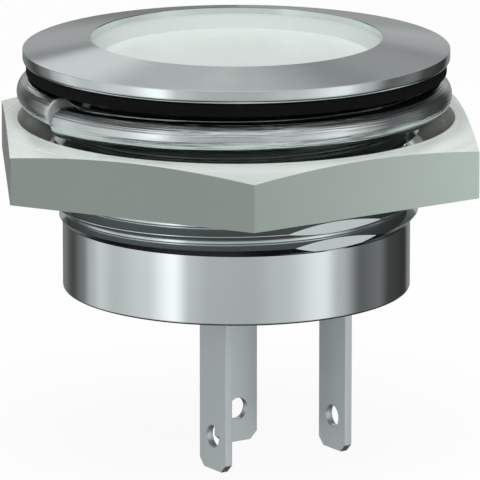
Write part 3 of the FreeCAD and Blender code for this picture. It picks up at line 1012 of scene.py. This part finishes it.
bpy.ops.object.select_all(action="DESELECT")
bpy.ops.mesh.primitive_circle_add(vertices=96, radius=FLOOR_R, fill_type="NGON", location=(0, 0, FLOOR_Z))
floor = bpy.context.object
floor.name = "floor"
floor.visible_glossy = False
floor.visible_diffuse = False
floor_finish = bare_finish("floor")
paint = add_node(floor_finish, "ShaderNodeBsdfDiffuse", [("Color", (FLOOR_PAINT, FLOOR_PAINT, FLOOR_PAINT, 1))])
glow = add_node(floor_finish, "ShaderNodeEmission", [("Color", (1, 1, 1, 1)), ("Strength", 1.0)])
clear = add_node(floor_finish, "ShaderNodeBsdfTransparent")
glow_share = maths(floor_finish, "MULTIPLY", white_rays(floor_finish), FLOOR_GLOW_SHARE)
from_above = mix_shaders(floor_finish, glow_share, paint.outputs[0], glow.outputs[0])
from_below = add_node(floor_finish, "ShaderNodeNewGeometry").outputs["Backfacing"]
both_sides = mix_shaders(floor_finish, from_below, from_above, clear.outputs[0])
add_node(floor_finish, "ShaderNodeOutputMaterial", [("Surface", both_sides)])
dress(floor, floor_finish)

# %% [markdown]
# ## The tent
#
# Polished metal shows its surroundings more than itself. A photographer puts it in a pale tent with a few white and
# dark panels, and their edges give the upright bands on the barrel. Panels could be single planes, but then each
# edge is an object to move. Here the tent is one large sphere that only reflections see, turned so that the middle
# of its pattern is towards the camera. Two values tell where on it a point is: how far round, and how high up.

# %% Raise the tent
TENT_R = 0.9

bpy.ops.object.select_all(action="DESELECT")
bpy.ops.mesh.primitive_uv_sphere_add(
    segments=64, ring_count=32, radius=TENT_R, rotation=(0, 0, CAMERA_AZIMUTH - math.radians(90)))
tent = bpy.context.object
tent.name = "light_tent"
for kind in ("camera", "diffuse", "transmission", "volume_scatter", "shadow"):
    setattr(tent, f"visible_{kind}", False)
tent_finish = bare_finish("light_tent")
tent_place = object_place(tent_finish)
around = add_node(tent_finish, "ShaderNodeTexGradient", [(0, tent_place)], gradient_type="RADIAL").outputs["Fac"]
height = add_node(tent_finish, "ShaderNodeSeparateXYZ", [(0, tent_place)]).outputs[2]
upwards = add_node(tent_finish, "ShaderNodeMapRange", [(0, height), (1, -TENT_R), (2, TENT_R)]).outputs[0]
print("tent radius", TENT_R, "m")

# %% [markdown]
# ### Panels in front and at the sides
#
# Colour ramps draw the panels, some of them round the tent and some up it. Where two ramps are multiplied, a panel
# has an edge on every side. What stands round the object at its own level makes the bands on skirt, rim and ring,
# and a ramp up the tent fades it out towards foot and top. One more panel hangs high in front.


# %% Helpers for panels
def ramp(finish, value, stops):
    """Colour ramp through (place, brightness) stops, eased between them."""
    node = add_node(finish, "ShaderNodeValToRGB", [(0, value)])
    node.color_ramp.interpolation = "EASE"
    elements = node.color_ramp.elements
    while len(elements) > 1:
        elements.remove(elements[-1])
    elements[0].position = stops[0][0]
    elements[0].color = (stops[0][1], stops[0][1], stops[0][1], 1)
    for place, brightness in stops[1:]:
        elements.new(place).color = (brightness, brightness, brightness, 1)
    return node.outputs[0]


def panels_round(stops):
    """Brightness round the tent. 0 degrees is towards the camera, positive is to the camera's right."""
    return ramp(tent_finish, around, [(0.5 + degrees / 360, brightness) for degrees, brightness in stops])


def panels_up(stops):
    """Brightness from the tent's foot to its top. 0 degrees is the horizon, 90 is straight above."""
    return ramp(tent_finish, upwards, [
        (0.5 + 0.5 * math.sin(math.radians(degrees)), brightness) for degrees, brightness in stops])


def blend(finish, share, first, second):
    return add_node(finish, "ShaderNodeMix", [(0, share), (2, first), (3, second)]).outputs[0]


# %% Panels in front
level_panels = panels_round([
    (-180, 0.18), (-158, 0.14), (-138, 0.06), (-122, 0.17), (-112, 0.42), (-101, 0.58), (-88, 0.48),
    (-62, 0.60), (-42, 1.00), (-30, 0.50), (-16, 0.41), (10, 0.40), (30, 0.50), (59, 0.78), (72, 0.44),
    (90, 0.11), (108, 0.15), (122, 0.05), (150, 0.03), (180, 0.18),
])
level_fade = panels_up([
    (-90, 0.03), (-65, 0.05), (-50, 0.08), (-38, 0.16), (-28, 0.52), (-20, 0.86), (-13, 1.00),
    (8, 0.98), (24, 0.86), (33, 0.45), (42, 0.22), (60, 0.12), (90, 0.08),
])
high_across = panels_round([(-62, 0), (-44, 0.5), (-14, 1), (22, 1), (44, 0.5), (60, 0)])
high_up = panels_up([(34, 0), (42, 0.7), (52, 0.7), (59, 0)])
high_panel = maths(tent_finish, "MULTIPLY", high_across, high_up)
front = maths(tent_finish, "ADD", maths(tent_finish, "MULTIPLY", level_panels, level_fade), high_panel)
report_finish(tent_finish)

# %% [markdown]
# ### Panels behind
#
# The bezel's shallow cone mirrors what is behind the object, and what it mirrors at the left is another height of the
# wall than at the right. So the wall behind has a ramp up for each half. The last ramp, round the tent, says where
# the wall behind takes over from the panels in front.

# %% Panels behind
TENT_STRENGTH = 1.28

behind_left = panels_up([
    (-90, 0.06), (-30, 0.15), (-4, 0.17), (7, 0.31), (12, 0.31), (16, 0.20), (19, 0.56), (25, 0.57),
    (28, 0.37), (32, 0.40), (38, 1.60), (60, 1.20), (90, 0.25),
])
behind_right = panels_up([
    (-90, 0.06), (-30, 0.15), (2, 0.27), (7, 0.35), (12, 0.32), (16, 0.23), (20, 0.26), (24.5, 0.26),
    (28, 0.20), (32, 0.40), (38, 1.60), (60, 1.20), (90, 0.25),
])
right_half = maths(tent_finish, "GREATER_THAN", around, 0.5)
behind = blend(tent_finish, right_half, behind_left, behind_right)
back_share = panels_round([(-180, 1), (-162, 1), (-148, 0), (148, 0), (162, 1), (180, 1)])
walls = blend(tent_finish, back_share, front, behind)
tent_glow = add_node(tent_finish, "ShaderNodeEmission", [("Color", walls), ("Strength", TENT_STRENGTH)])
add_node(tent_finish, "ShaderNodeOutputMaterial", [("Surface", tent_glow.outputs[0])])
dress(tent, tent_finish)

# %% [markdown]
# ## Lamps
#
# Reflections make the metal, but the lens, the pale plate and the plastics need light of their own. Two soft square
# lamps give it: a large one hangs above, and a small one stands close by at the camera's right, a little below the
# nut, so the nut's right face is lighter than its left one and fades along its length. Mirrors don't see them.


# %% Lamps
def add_lamp(name, right, high, distance, size, power):
    """A square soft lamp. right and high are angles in degrees from the camera's azimuth and the horizon."""
    azimuth = CAMERA_AZIMUTH + math.radians(right)
    rise = math.radians(high)
    away = Vector((math.sin(azimuth) * math.cos(rise), -math.cos(azimuth) * math.cos(rise), math.sin(rise)))
    bpy.ops.object.light_add(
        type="AREA", location=away * distance, rotation=away.to_track_quat("Z", "Y").to_euler())
    lamp = bpy.context.object
    lamp.name = name
    lamp.data.size = size
    lamp.data.energy = power
    lamp.visible_glossy = False
    lamp.visible_camera = False
    print(f"{name}: {power} W at", [round(c, 3) for c in lamp.location])


add_lamp("soft_lamp_right", right=69.5, high=-6, distance=0.048, size=0.028, power=0.0075)
add_lamp("soft_lamp_top", right=-10, high=80, distance=0.7, size=0.6, power=5.1)

# %% [markdown]
# ## Sky
#
# The world lights the object faintly from all sides, so that no shadow is quite black. A world bright enough to show
# white would light it too much, so the world is white on the background's rays only, as the floor is. The view
# transform is Standard, so that a colour shows about as it is written.

# %% Sky and view
SKY_LIGHT = 0.15

sky = bpy.context.scene.world or bpy.data.worlds.new("sky")
bpy.context.scene.world = sky
sky.use_nodes = True
sky_light = sky.node_tree.nodes["Background"]
sky_light.inputs["Color"].default_value = (1, 1, 1, 1)
sky_strength = maths(sky, "MAXIMUM", white_rays(sky), SKY_LIGHT)
sky.node_tree.links.new(sky_strength, sky_light.inputs["Strength"])
bpy.context.scene.view_settings.view_transform = "Standard"
print("finishes:", len(bpy.data.materials), "sky light:", SKY_LIGHT)
